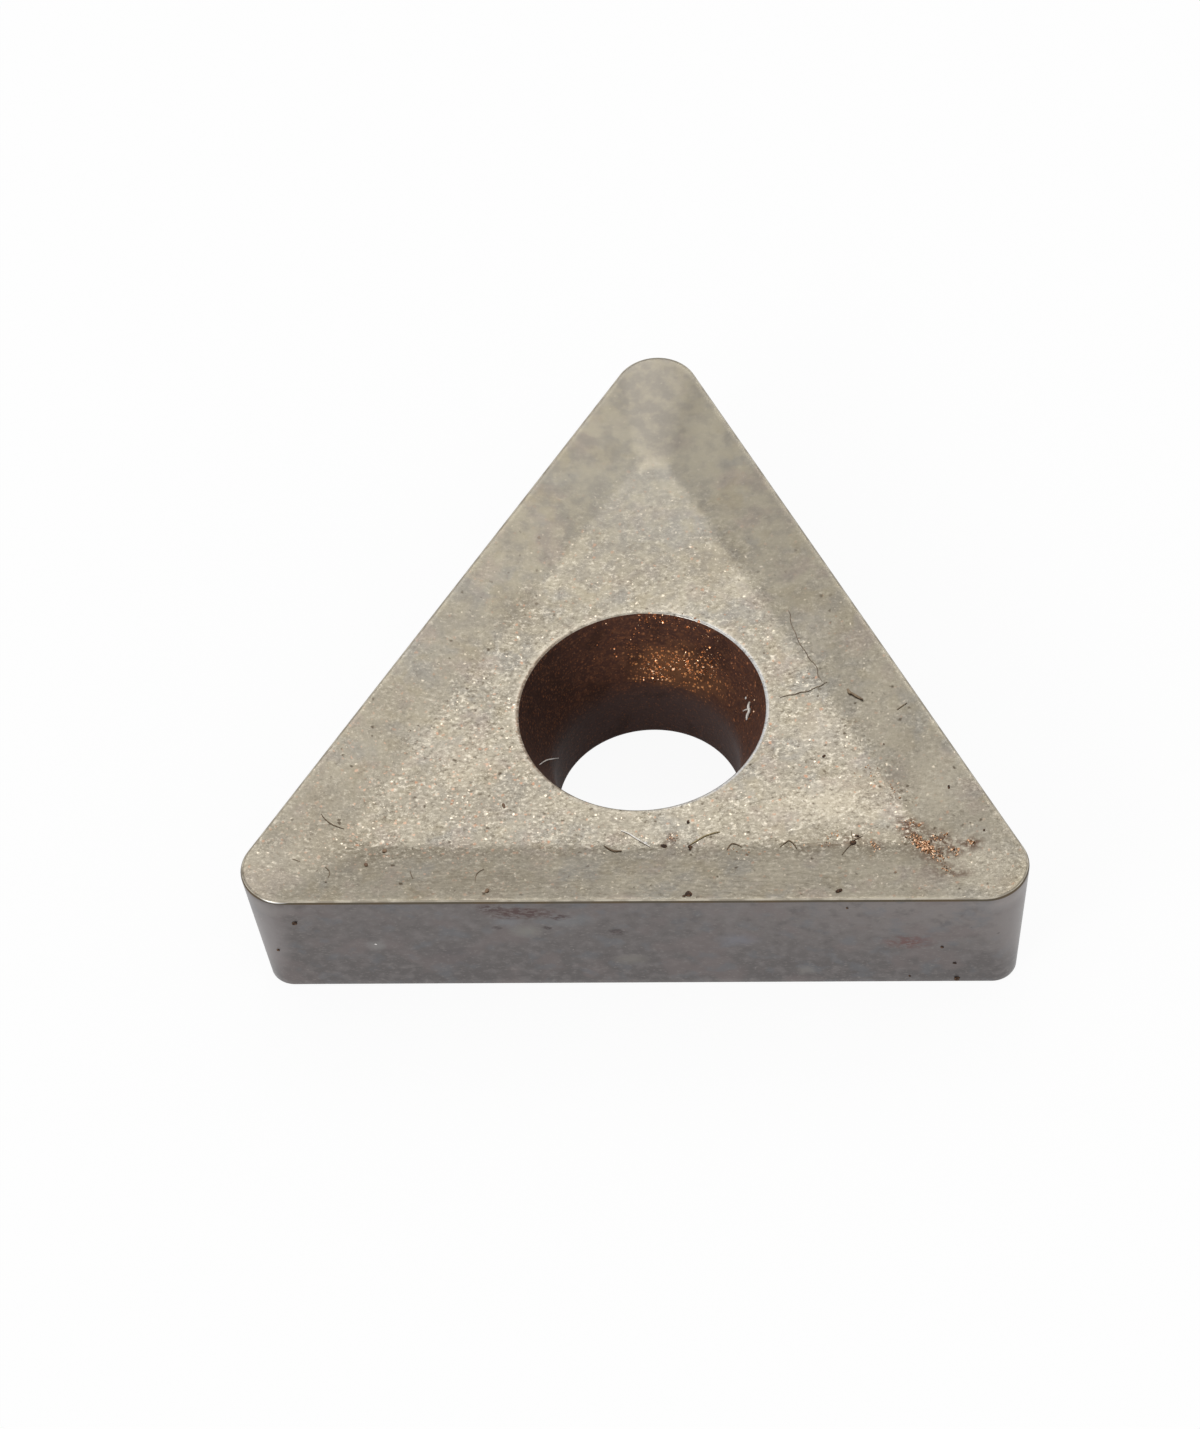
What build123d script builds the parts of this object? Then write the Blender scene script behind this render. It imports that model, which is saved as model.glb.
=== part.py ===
"""A triangular turning insert of cemented carbide, with a screw hole and a pressed chip-breaker.

The insert is one sintered piece. It stands on its seat face with the screw hole upright, one nose
towards +Y and one cutting edge across the front, parallel to X. The origin is where the axis of the
screw hole meets the seat face. All sizes are in millimetres and all angles in degrees.
"""

from build123d import *
import os

# Body: the inscribed circle touches the three cutting edges, and the flanks lean in below them.
inscribed_circle = 9.525
thickness = 3.18
nose_radius = 0.85
clearance_angle = 7.0
seat_edge_radius = 0.05

# Cutting edge: the fine rounding where the bands meet the flanks.
hone_radius = 0.06

# Chip-breaker: three bands slope down from the cutting edges to a flat floor.
band_width = 1.5
floor_depth = 0.2
floor_corner_radius = 0.4
crease_radius = 1.5

# Screw hole: a straight bore that opens upwards into a conical seat for the screw's head.
bore_diameter = 3.6
mouth_diameter = 4.82
head_seat_depth = 1.6
throat_radius = 1.5
mouth_edge_radius = 0.05
bore_edge_chamfer = 0.02

# Heights and radii that follow from the sizes above.
edge_inradius = inscribed_circle / 2
floor_inradius = edge_inradius - band_width
floor_height = thickness - floor_depth
bore_radius = bore_diameter / 2
mouth_radius = mouth_diameter / 2
throat_height = floor_height - head_seat_depth
seat_slope = (mouth_radius - bore_radius) / head_seat_depth
seat_top_radius = mouth_radius + floor_depth * seat_slope


with BuildPart() as carbide_insert:
    # The body is the cutting outline, drawn at the height of the edges and tapered down to the seat.
    with BuildSketch(Plane.XY.offset(thickness)) as cutting_outline:
        RegularPolygon(radius=edge_inradius, side_count=3, major_radius=False, rotation=90)
        fillet(cutting_outline.vertices(), radius=nose_radius)
    extrude(cutting_outline.sketch, amount=-thickness, taper=clearance_angle)
    seat_edges = carbide_insert.faces().sort_by(Axis.Z)[0].edges()
    fillet(seat_edges, radius=seat_edge_radius)

    # The chip-breaker is pressed in from the whole cutting outline down to the smaller floor outline,
    # so that the edges stay level round the noses and the bands meet in mitres behind them.
    with BuildSketch(Plane.XY.offset(floor_height)) as floor_outline:
        RegularPolygon(radius=floor_inradius, side_count=3, major_radius=False, rotation=90)
        fillet(floor_outline.vertices(), radius=floor_corner_radius)
    loft(mode=Mode.SUBTRACT)
    chip_floor = carbide_insert.faces().filter_by(Axis.Z).sort_by(Axis.Z)[-1]
    fillet(chip_floor.edges(), radius=crease_radius)

    # The cutting edges are the highest edges of the body.
    cutting_edges = carbide_insert.edges().group_by(Axis.Z)[-1]
    fillet(cutting_edges, radius=hone_radius)

    # The screw hole is one turned profile: bore, throat and conical seat.
    with BuildSketch(Plane.XZ) as hole_profile:
        with BuildLine():
            Polyline(
                (0, 0),
                (bore_radius, 0),
                (bore_radius, throat_height),
                (seat_top_radius, thickness),
                (0, thickness),
                close=True,
            )
        make_face()
        throat_corner = hole_profile.vertices().sort_by(Axis.Y)[2]
        fillet(throat_corner, radius=throat_radius)
    revolve(axis=Axis.Z, mode=Mode.SUBTRACT)

    # The mouth of the hole is eased and its lower end is broken.
    hole_rims = carbide_insert.edges().filter_by(GeomType.CIRCLE)
    mouth_rim = hole_rims.filter_by(lambda rim: abs(rim.radius - mouth_radius) < 0.01)
    fillet(mouth_rim, radius=mouth_edge_radius)
    lower_rim = carbide_insert.faces().sort_by(Axis.Z)[0].inner_wires()[0].edges()
    chamfer(lower_rim, length=bore_edge_chamfer)

carbide_insert.part.label = "carbide_insert"

os.makedirs("parts", exist_ok=True)
export_step(carbide_insert.part, "parts/carbide_insert.step")
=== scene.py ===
"""A used turning insert of sintered tungsten carbide, on a white table in soft studio light.

The insert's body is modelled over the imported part, and then come its finishes and what lies on it:
dried copper assembly paste in the hole and smeared on one corner, and hairs and crumbs of dirt.
"""

import math
import random

import bpy
from mathutils import Euler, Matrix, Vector


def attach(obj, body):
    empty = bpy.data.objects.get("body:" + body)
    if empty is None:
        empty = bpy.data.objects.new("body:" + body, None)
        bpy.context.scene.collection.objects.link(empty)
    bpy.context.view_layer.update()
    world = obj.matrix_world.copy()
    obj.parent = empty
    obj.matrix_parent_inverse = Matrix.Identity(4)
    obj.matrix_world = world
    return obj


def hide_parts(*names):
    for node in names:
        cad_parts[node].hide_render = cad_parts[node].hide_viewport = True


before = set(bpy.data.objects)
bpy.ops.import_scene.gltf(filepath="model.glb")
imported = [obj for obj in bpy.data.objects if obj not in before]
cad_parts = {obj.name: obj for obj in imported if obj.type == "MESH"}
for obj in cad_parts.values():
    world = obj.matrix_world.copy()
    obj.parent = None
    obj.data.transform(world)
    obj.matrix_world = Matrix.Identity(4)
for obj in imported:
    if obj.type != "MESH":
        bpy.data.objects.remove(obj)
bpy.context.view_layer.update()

MM = 0.001

# Places nearer to each other than this count as one.
CLOSE = 0.002 * MM

# The section of the insert, in metres from the seat face and from the axis of the screw hole.
CLEARANCE_DEG = 7.0
CUTTING_HEIGHT = 3.18 * MM
EDGE_INRADIUS = 4.7625 * MM
NOSE_RADIUS = 0.85 * MM
FLANK_LEAN = CUTTING_HEIGHT * math.tan(math.radians(CLEARANCE_DEG))
FLOOR_HEIGHT = CUTTING_HEIGHT - 0.2 * MM
FLOOR_INRADIUS = EDGE_INRADIUS - 1.5 * MM
FLOOR_CORNER_RADIUS = 0.4 * MM
MOUTH_RADIUS = 2.41 * MM
BORE_RADIUS = 1.8 * MM
THROAT_HEIGHT = FLOOR_HEIGHT - 1.6 * MM
BORE_CHAMFER = 0.02 * MM

# Bevels that round the rings where the section turns: how far each reaches, and in how many steps.
HONE_REACH, HONE_STEPS = 0.0776 * MM, 6
CREASE_REACH, CREASE_STEPS = 0.1 * MM, 3
MOUTH_REACH, MOUTH_STEPS = 0.035 * MM, 3
THROAT_REACH, THROAT_STEPS = 0.265 * MM, 5
SEAT_REACH, SEAT_STEPS = 0.045 * MM, 3

# The rounded cutting edge is painted dark below the first height, as shade for the dark surroundings
# that its rounding mirrors, and painted paler above the second, as far in as the crest reaches.
HONE_DARK_HEIGHT = CUTTING_HEIGHT - 0.024 * MM
CREST_REACH, CREST_HEIGHT = 0.06 * MM, CUTTING_HEIGHT - 0.03 * MM

# Mesh fineness: steps round a nose, and along an edge as equal spans of equal steps. A nose turns
# by 60 degrees to each side of its middle, whose cosine is a half.
NOSE_STEPS = 24
NOSE_HALF_COSINE, SPARE = 0.5, 0.01
EDGE_SPANS, SPAN_STEPS = 3, 50
RING_STEPS = 3 * (NOSE_STEPS + EDGE_SPANS * SPAN_STEPS)
WALL_ROWS = 20
SHORTEST_WALL = 0.5 * MM

# Where the camera stands, as seen from the insert, and its frame in pixels.
VIEW_AZIMUTH_DEG = -6.59
VIEW_ELEVATION_DEG = 52.36
VIEW_ROLL_DEG = -5.57
VIEW_DISTANCE = 310.8 * MM
VIEW_AIM = Vector((-0.8055, -0.1815, 3.1122)) * MM
LENS_MM = 403.44
SENSOR_MM = 36.0
FRAME_WIDTH, FRAME_HEIGHT = 1200, 1429

# The direction in which a rag wiped the bands, in radians from the front edge.
WIPE_ANGLE = 0.5

# Marks and dirt are placed by where the camera sees them: columns and rows of its frame.
RICHEST_LIT_PASTE = (680, 667)
RUBBED_FLOOR = (640, 822)
COPPER_DUST = (430, 800)
# Where a highlight is painted on the left nose's edge.
PAINTED_HIGHLIGHT_SPOT = (273, 902)

# A mark on the top spans its floor and its bands alike: how far it reaches up and down, in millimetres.
TOP_MARK_DEPTH = 3.0

# A mark has its full strength out to this share of its reach, and a fleck fades over this share of
# its width.
MARK_CORE, FLECK_FADE = 0.3, 0.25

# Tones on the top, partly blotches of film and partly painted shade and light that even out how the
# nose's slopes and the floor catch the lamps: colour, where the camera sees it, reach along X and Y in
# millimetres, and strength.
TOP_TONES_AND_PAINTED_SHADE = (
    ("#7a7369", (657, 425), (0.55, 1.3), 0.65),
    ("#827b6f", (632, 385), (1.0, 0.5), 0.5),
    ("#9c9585", (708, 440), (0.5, 1.4), 0.8),
    ("#807869", (590, 525), (0.9, 1.0), 0.8),
    ("#827a6b", (715, 560), (0.8, 0.9), 0.8),
    ("#857d6e", (640, 560), (1.0, 0.9), 0.6),
    ("#7f7768", (523, 615), (0.7, 0.9), 0.8),
    ("#837b6c", (338, 850), (1.3, 1.0), 0.8),
    ("#827a6b", (392, 712), (0.8, 1.1), 0.35),
    ("#847c6d", (480, 882), (1.8, 0.5), 0.7),
    ("#a39a89", (462, 765), (0.8, 1.0), 0.7),
    ("#7f7768", (840, 838), (2.2, 0.45), 0.8),
    ("#a79e8d", (830, 803), (1.7, 0.6), 0.8),
    ("#a39b8b", (935, 785), (0.8, 1.0), 0.8),
    ("#a0988a", (823, 735), (0.8, 0.8), 0.6),
    ("#a0988a", (812, 635), (0.6, 0.9), 0.6),
    ("#9a9283", (985, 850), (0.9, 1.2), 0.6),
    ("#857e72", (270, 872), (1.0, 1.3), 0.5),
    ("#9c9484", (880, 695), (0.8, 1.0), 0.6),
    ("#9b9383", (970, 862), (0.7, 0.6), 0.7),
    ("#807b73", (648, 390), (1.6, 1.5), 0.7),
    ("#85827a", (634, 500), (2.0, 2.2), 0.5),
    ("#9a9282", (905, 765), (0.9, 0.8), 0.4),
    ("#847d70", (335, 800), (1.2, 0.8), 0.5),
    ("#958d7e", (790, 855), (2.0, 0.3), 0.5),
    ("#a0988a", (660, 463), (0.5, 0.4), 0.3),
    ("#a8a090", (547, 652), (0.45, 0.7), 0.8),
    ("#a59d8d", (670, 612), (0.6, 0.4), 0.8),
    ("#a8a090", (713, 657), (0.25, 0.5), 0.7),
    ("#a39b8b", (739, 582), (0.6, 0.5), 0.6),
    ("#9c9484", (884, 729), (0.6, 0.9), 0.7),
    ("#958d7e", (750, 884), (1.6, 0.4), 0.5),
    ("#a09888", (962, 888), (1.0, 0.4), 0.7),
    ("#847d70", (508, 797), (1.3, 0.7), 0.5),
    ("#7f7768", (757, 690), (0.5, 0.7), 0.6),
    ("#847d70", (739, 833), (0.6, 0.4), 0.5),
    ("#a19989", (425, 738), (0.6, 0.6), 0.5),
)

# Paste smeared on the right nose and along the front crease: where, reach and strength, as above.
PASTE_SMEARS = (
    ((906, 824), (0.3, 0.25), 0.8),
    ((914, 830), (0.35, 0.3), 1.0),
    ((925, 844), (0.6, 0.45), 0.8),
    ((938, 840), (0.45, 0.3), 1.0),
    ((934, 853), (0.4, 0.4), 0.75),
    ((954, 849), (0.3, 0.3), 0.9),
    ((972, 843), (0.3, 0.25), 0.9),
    ((944, 869), (0.5, 0.35), 0.5),
    ((960, 873), (0.4, 0.15), 0.6),
    ((882, 786), (0.9, 0.7), 0.25),
    ((853, 841), (0.28, 0.22), 0.7),
    ((873, 846), (0.35, 0.2), 0.6),
    ((830, 845), (0.35, 0.1), 0.6),
    ((808, 848), (0.4, 0.2), 0.4),
    ((672, 838), (0.3, 0.2), 0.7),
    ((665, 846), (0.25, 0.1), 0.9),
)

# Marks on the front flank, and painted sheen towards its noses: colour, where, reach along X, Y and Z in
# millimetres, and strength.
FLANK_MARKS_AND_NOSE_SHEEN = (
    ("#58443f", (519, 912), (0.9, 0.4, 0.22), 0.6),
    ("#463837", (617, 932), (0.15, 0.4, 0.14), 0.8),
    ("#453b3a", (548, 928), (0.1, 0.4, 0.1), 0.9),
    ("#4a3f3e", (563, 918), (0.18, 0.4, 0.1), 0.8),
    ("#4c4241", (497, 928), (0.08, 0.4, 0.08), 0.8),
    ("#63504e", (908, 942), (0.5, 0.4, 0.25), 0.5),
    ("#77756f", (526, 931), (0.4, 0.4, 0.3), 0.7),
    ("#73767a", (507, 922), (0.35, 0.4, 0.2), 0.5),
    ("#717476", (566, 921), (0.6, 0.4, 0.3), 0.5),
    ("#77726b", (631, 959), (0.4, 0.4, 0.25), 0.6),
    ("#74737a", (738, 940), (0.5, 0.4, 0.3), 0.5),
    ("#7a7672", (806, 970), (0.25, 0.4, 0.2), 0.6),
    ("#7f7d7b", (376, 945), (0.25, 0.4, 0.25), 0.6),
    ("#524b4c", (450, 955), (0.7, 0.4, 0.5), 0.4),
    # Painted sheen: the flank is lighter towards both noses, where it mirrors the lit table at the sides.
    ("#7f7978", (268, 935), (0.5, 0.8, 1.6), 0.8),
    ("#787270", (1010, 925), (0.6, 0.8, 1.6), 0.8),
    ("#8d8784", (266, 909), (0.7, 0.8, 0.3), 0.4),
    ("#8d8784", (1012, 898), (0.9, 0.8, 0.35), 0.6),
)

# Stains that paste and oil left on the front flank, broken up into threads, in the same terms.
FLANK_STAINS = (
    ("#452c29", (519, 913), (0.85, 0.4, 0.3), 1.0),
    ("#3f2a27", (490, 908), (0.35, 0.4, 0.2), 0.9),
    ("#42302f", (558, 917), (0.3, 0.4, 0.15), 0.9),
    ("#3d3332", (617, 932), (0.25, 0.4, 0.15), 1.0),
    ("#3f3534", (548, 928), (0.12, 0.4, 0.09), 1.0),
    ("#443a39", (496, 928), (0.12, 0.4, 0.09), 0.8),
    ("#5f3a36", (908, 942), (0.6, 0.4, 0.3), 0.8),
)

# The studio. A lamp is its azimuth and elevation in degrees, its width in metres and its power in watts.
TABLE_RADIUS, TABLE_STEPS = 0.6, 96
TABLE_DROP = 5 * CLOSE
LAMP_DISTANCE = 0.5
BACK_SOFTBOX = (-2, 56, 0.12, 0.14)
FRONT_SOFTBOX = (-142, 32, 0.2, 0.5)
ROOM_LIGHT = 0.8
EVEN_WHITE_SHARE = 0.93

# Sockets of Blender's Mix node when it mixes colours.
MIX_SHARE, MIX_UNDER, MIX_OVER, MIX_RESULT = 0, 6, 7, 2

# Hairs and fibres, each as the places it passes over.
LONG_HAIR = (
    (788, 610), (791, 614), (790, 621), (793, 628), (796, 634), (798, 641), (802, 647),
    (806, 652), (809, 659), (815, 664), (818, 669), (817, 675), (822, 681),
)
LOOSE_HAIR = ((780, 698), (787, 695), (794, 695), (801, 692), (808, 692), (814, 688), (821, 686), (827, 682))
DARK_ROD = ((849, 692), (855, 696), (863, 700))
ROD_HEAD = ((848, 690), (849, 693), (851, 694))
SHORT_HAIR = ((897, 710), (902, 706), (907, 703))
NOSE_HAIR = ((321, 814), (325, 820), (334, 826), (344, 829))
NOSE_CURL = ((325, 867), (329, 870), (330, 874), (328, 878))
CORNER_HAIR = ((292, 859), (296, 860), (300, 862))
CURL_A = ((727, 850), (729, 845), (735, 843), (742, 847))
CURL_B = ((780, 847), (785, 843), (791, 839), (797, 849))
OLIVE_FIBRE = ((690, 845), (695, 842), (701, 838), (710, 834), (720, 832))
PALE_STREAK = ((621, 831), (628, 833), (635, 838), (642, 842), (650, 847))
BORE_LINT = ((751, 702), (749, 706), (751, 711), (748, 716), (748, 720))
BORE_LINT_ARM = ((744, 711), (747, 709), (751, 709))
BORE_FIBRE = ((539, 765), (544, 761), (550, 759), (558, 758))
BAND_CURL = ((475, 883), (475, 877), (478, 872), (484, 869))
BAND_TICK = ((410, 871), (411, 875), (413, 879))
CREASE_CURL = ((604, 846), (610, 850), (616, 852), (622, 851))
CRUMB_LEGS = (
    ((851, 831), (852, 836), (853, 841)),
    ((853, 841), (858, 838), (863, 836)),
    ((853, 842), (848, 847), (842, 855)),
)

# Crumbs: where each one lies, and its width in millimetres.
GRIT = (
    ((690, 847), 0.08),
    ((689, 894), 0.125),
    ((684, 896), 0.06),
    ((839, 891), 0.1),
    ((853, 843), 0.11),
    ((857, 836), 0.06),
    ((664, 846), 0.09),
    ((690, 849), 0.07),
    ((847, 908), 0.05),
    ((957, 978), 0.11),
    ((295, 923), 0.1),
    ((278, 950), 0.06),
    ((942, 947), 0.06),
    ((955, 963), 0.06),
    ((910, 976), 0.05),
    ((949, 787), 0.07),
    ((688, 822), 0.07),
    ((984, 830), 0.04),
    ((824, 756), 0.06),
    ((884, 744), 0.04),
)
BROWN_CRUMBS = (((366, 865), 0.08), ((385, 851), 0.09), ((487, 891), 0.09), ((504, 806), 0.08))
PALE_CRUMBS = (
    ((746, 698), 0.05),
    ((645, 843), 0.07),
    ((376, 944), 0.06),
)

# Routes of copper flakes: places, count, stray in pixels, steepest tilt in radians, and the least
# and the most width in millimetres.
COPPER_SMEAR = (
    (((903, 823), (911, 822), (921, 826)), 16, 1.8, 0.5, 0.02, 0.06),
    (((909, 836), (913, 840), (917, 843)), 24, 2.0, 0.5, 0.02, 0.06),
    (((917, 840), (923, 844), (928, 849)), 110, 2.4, 0.9, 0.02, 0.09),
    (((926, 846), (934, 852), (941, 858)), 90, 2.8, 0.6, 0.015, 0.06),
    (((915, 840), (930, 848), (943, 858)), 60, 5.0, 0.6, 0.012, 0.04),
    (((933, 840), (940, 837), (946, 834)), 24, 1.8, 0.5, 0.02, 0.06),
    (((950, 847), (954, 850), (959, 852)), 26, 1.8, 0.8, 0.015, 0.07),
    (((971, 842), (974, 844)), 22, 1.6, 0.9, 0.02, 0.08),
    (((940, 866), (947, 869), (951, 873)), 20, 2.4, 0.5, 0.02, 0.05),
    (((862, 770), (878, 778), (893, 785), (900, 795)), 50, 5.0, 0.4, 0.012, 0.04),
    (((870, 841), (874, 846), (879, 849)), 24, 2.5, 0.6, 0.015, 0.05),
    (((827, 839), (834, 834), (841, 831)), 14, 1.5, 0.9, 0.02, 0.06),
    (((670, 836), (676, 840)), 10, 2.0, 0.4, 0.02, 0.05),
    (((728, 851), (745, 850), (800, 846), (832, 845)), 24, 1.8, 0.5, 0.012, 0.04),
)
BORE_GLINTS = (
    (((632, 620), (660, 618), (690, 624), (714, 638)), 46, 4.0, 1.0, 0.02, 0.07),
    (((700, 650), (716, 662)), 40, 6.0, 1.0, 0.015, 0.05),
    (((645, 670), (680, 664), (715, 670)), 210, 7.0, 1.0, 0.015, 0.06),
    (((600, 650), (650, 625), (720, 640)), 60, 9.0, 1.0, 0.015, 0.04),
    (((735, 660), (748, 690), (752, 720)), 40, 5.0, 1.0, 0.015, 0.04),
)

# Flakes stop just short of their route's last place.
ROUTE_SPARE = 0.001

# How dirt is shaped. Each number is a share of the width of the thread, crumb or flake.
THREAD_LIFT, THREAD_TIP = 0.45, 0.5
CRUMB_LIFT, CRUMB_LUMPS, CRUMB_HEIGHT = 0.1, 0.7, 0.5
CRUMB_STRETCH = (0.8, 1.4)
FLAKE_LIFT, FLAKE_THICKNESS, FLAKE_BEND, FLAKE_BENT_FROM = 0.1, 0.12, 0.15, 0.2
FLAKE_NARROWEST = 0.5
FLAKE_CORNERS = 6

# The finest clouds that Blender draws, which give a crumb its lumps.
SMALLEST_CLOUD = 0.1 * MM


# ---------------------------------------------------------------- mesh helpers


def start_edit(piece):
    """Makes the piece the only thing selected, in edit mode with nothing picked."""
    bpy.ops.object.select_all(action="DESELECT")
    piece.select_set(True)
    bpy.context.view_layer.objects.active = piece
    bpy.ops.object.mode_set(mode="EDIT")
    bpy.ops.mesh.select_mode(type="VERT")
    bpy.ops.mesh.select_all(action="DESELECT")


def pick(piece, wanted, kind="EDGE"):
    """In edit mode, picks exactly the vertices, edges or faces whose corners all pass the test."""
    bpy.ops.mesh.select_mode(type="VERT")
    bpy.ops.mesh.select_all(action="DESELECT")
    bpy.ops.object.mode_set(mode="OBJECT")
    for vertex in piece.data.vertices:
        vertex.select = wanted(vertex.co)
    bpy.ops.object.mode_set(mode="EDIT")
    bpy.ops.mesh.select_mode(type=kind)


def end_edit():
    """Leaves edit mode."""
    bpy.ops.object.mode_set(mode="OBJECT")


# ---------------------------------------------------------------- the insert's body


def nose_directions():
    """The three noses point to +Y and a third of a turn to each side of it."""
    return [Vector((-math.sin(turn), math.cos(turn), 0)) for turn in (0, math.tau / 3, -math.tau / 3)]


def seen_from_above(place):
    """The same place pressed flat."""
    return Vector((place.x, place.y, 0))


def outside_triangle(place, inradius, corner_radius):
    """How far a place lies outside a triangle with round corners, seen from above."""
    flat = seen_from_above(place)
    for direction in nose_directions():
        from_corner = flat - direction * 2 * (inradius - corner_radius)
        if from_corner.dot(direction) >= NOSE_HALF_COSINE * from_corner.length:
            return from_corner.length - corner_radius
    return max(-flat.dot(direction) for direction in nose_directions()) - inradius


def triangle_ring(height, inradius, corner_radius):
    """A test for the places on a triangle ring: a flat triangle with round corners."""
    return lambda place: (
        abs(place.z - height) < CLOSE and abs(outside_triangle(place, inradius, corner_radius)) < CLOSE
    )


def circle_ring(height, radius):
    """A test for the places on a flat circle round the axis."""
    return lambda place: (
        abs(place.z - height) < CLOSE and abs(math.hypot(place.x, place.y) - radius) < CLOSE
    )


def add_triangle_ring(piece, height, inradius, corner_radius):
    """Adds a triangle ring: a third of a circle at each corner, joined by straight edges."""
    reach = 2 * (inradius - corner_radius)
    corners = [direction * reach for direction in nose_directions()]
    for corner in corners:
        place = corner + Vector((0, 0, height))
        bpy.ops.mesh.primitive_circle_add(vertices=3 * NOSE_STEPS, radius=corner_radius, location=place)

    def inner_part(place):
        flat = seen_from_above(place)
        corner = min(corners, key=lambda centre: (flat - centre).length)
        from_corner = flat - corner
        on_circle = abs(place.z - height) < CLOSE and from_corner.length < (1 + SPARE) * corner_radius
        return on_circle and from_corner.dot(corner.normalized()) < (NOSE_HALF_COSINE - SPARE) * corner_radius

    pick(piece, inner_part, "VERT")
    bpy.ops.mesh.delete(type="VERT")
    for start, end in zip(corners, corners[1:] + corners[:1]):
        outwards = (start + end).normalized() * corner_radius + Vector((0, 0, height))
        ends = (start + outwards, end + outwards)
        pick(piece, lambda place: min((place - tangent).length for tangent in ends) < CLOSE, "VERT")
        bpy.ops.mesh.edge_face_add()
        bpy.ops.mesh.subdivide(number_cuts=EDGE_SPANS - 1)
        bpy.ops.mesh.subdivide(number_cuts=SPAN_STEPS - 1)


def add_circle_ring(height, radius):
    """Adds a circle round the axis, with as many steps as a triangle ring."""
    bpy.ops.mesh.primitive_circle_add(vertices=RING_STEPS, radius=radius, location=(0, 0, height))


def bridge(piece, first, second):
    """Joins two rings with a wall of quads."""
    pick(piece, lambda place: first(place) or second(place))
    bpy.ops.mesh.bridge_edge_loops()


def round_ring(piece, ring, reach, steps):
    """Rounds the edge that runs along one ring."""
    pick(piece, ring)
    bpy.ops.mesh.bevel(offset=reach, offset_type="OFFSET", segments=steps, profile=0.5)


def divide_walls(piece):
    """Cuts every wall into rows; its long edges run from ring to ring."""
    bpy.ops.mesh.select_all(action="DESELECT")
    bpy.ops.object.mode_set(mode="OBJECT")
    places = [vertex.co.copy() for vertex in piece.data.vertices]
    for edge in piece.data.edges:
        start, end = (places[index] for index in edge.vertices)
        edge.select = (end - start).length > SHORTEST_WALL
    bpy.ops.object.mode_set(mode="EDIT")
    bpy.ops.mesh.subdivide(number_cuts=WALL_ROWS - 1)


def make_body():
    """The insert's body: rings where its section turns, bridged into one closed skin."""
    bpy.ops.object.select_all(action="DESELECT")
    bpy.ops.mesh.primitive_circle_add(vertices=RING_STEPS, radius=MOUTH_RADIUS, location=(0, 0, FLOOR_HEIGHT))
    body = bpy.context.object
    body.name = "insert_body"
    bpy.ops.object.transform_apply(location=True, rotation=True, scale=True)
    start_edit(body)
    seat_shape = (0.0, EDGE_INRADIUS - FLANK_LEAN, NOSE_RADIUS - FLANK_LEAN)
    cutting_shape = (CUTTING_HEIGHT, EDGE_INRADIUS, NOSE_RADIUS)
    floor_shape = (FLOOR_HEIGHT, FLOOR_INRADIUS, FLOOR_CORNER_RADIUS)
    for triangle in (seat_shape, cutting_shape, floor_shape):
        add_triangle_ring(body, *triangle)
    throat_shape = (THROAT_HEIGHT, BORE_RADIUS)
    bore_end_shape = (BORE_CHAMFER, BORE_RADIUS)
    bore_rim_shape = (0.0, BORE_RADIUS + BORE_CHAMFER)
    for circle in (throat_shape, bore_end_shape, bore_rim_shape):
        add_circle_ring(*circle)
    seat, cutting, floor = (
        triangle_ring(*shape) for shape in (seat_shape, cutting_shape, floor_shape)
    )
    mouth = circle_ring(FLOOR_HEIGHT, MOUTH_RADIUS)
    throat, bore_end, bore_rim = (
        circle_ring(*shape) for shape in (throat_shape, bore_end_shape, bore_rim_shape)
    )
    section = (seat, cutting, floor, mouth, throat, bore_end, bore_rim)
    for first, second in zip(section, section[1:] + section[:1]):
        bridge(body, first, second)
    round_ring(body, cutting, HONE_REACH, HONE_STEPS)
    round_ring(body, floor, CREASE_REACH, CREASE_STEPS)
    round_ring(body, mouth, MOUTH_REACH, MOUTH_STEPS)
    round_ring(body, throat, THROAT_REACH, THROAT_STEPS)
    round_ring(body, seat, SEAT_REACH, SEAT_STEPS)
    divide_walls(body)
    bpy.ops.mesh.select_all(action="SELECT")
    bpy.ops.mesh.normals_make_consistent(inside=False)
    end_edit()
    bpy.ops.object.shade_smooth()
    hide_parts("carbide_insert")
    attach(body, "root")
    return body


def on_top(place):
    """The pressed top: its sloping bands, its level floor and the rim of the hole."""
    return place.z > FLOOR_HEIGHT - MOUTH_REACH and math.hypot(place.x, place.y) > MOUTH_RADIUS - CLOSE


def on_flank(place):
    """The three sides, from the lower end of the hone to the seat face."""
    lean = (CUTTING_HEIGHT - place.z) * math.tan(math.radians(CLEARANCE_DEG))
    return abs(outside_triangle(place, EDGE_INRADIUS, NOSE_RADIUS) + lean) < CLOSE


def on_hone(place):
    """The lower half of the rounded cutting edge, which turns from the top to the flank."""
    outside = outside_triangle(place, EDGE_INRADIUS, NOSE_RADIUS)
    in_bevel = math.hypot(outside, place.z - CUTTING_HEIGHT) < HONE_REACH + CLOSE
    return in_bevel and place.z < HONE_DARK_HEIGHT + CLOSE


def on_crest(place):
    """The crest of the rounded cutting edge, just inside the dark line."""
    outside = outside_triangle(place, EDGE_INRADIUS, NOSE_RADIUS)
    return outside > -CREST_REACH and place.z > CREST_HEIGHT


def in_hole(place):
    """The screw's conical seat, the bore below it and the bore's lower rim."""
    from_axis = math.hypot(place.x, place.y)
    rim = BORE_RADIUS + BORE_CHAMFER + CLOSE
    return from_axis < (rim if place.z < CLOSE else MOUTH_RADIUS + CLOSE)


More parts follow.
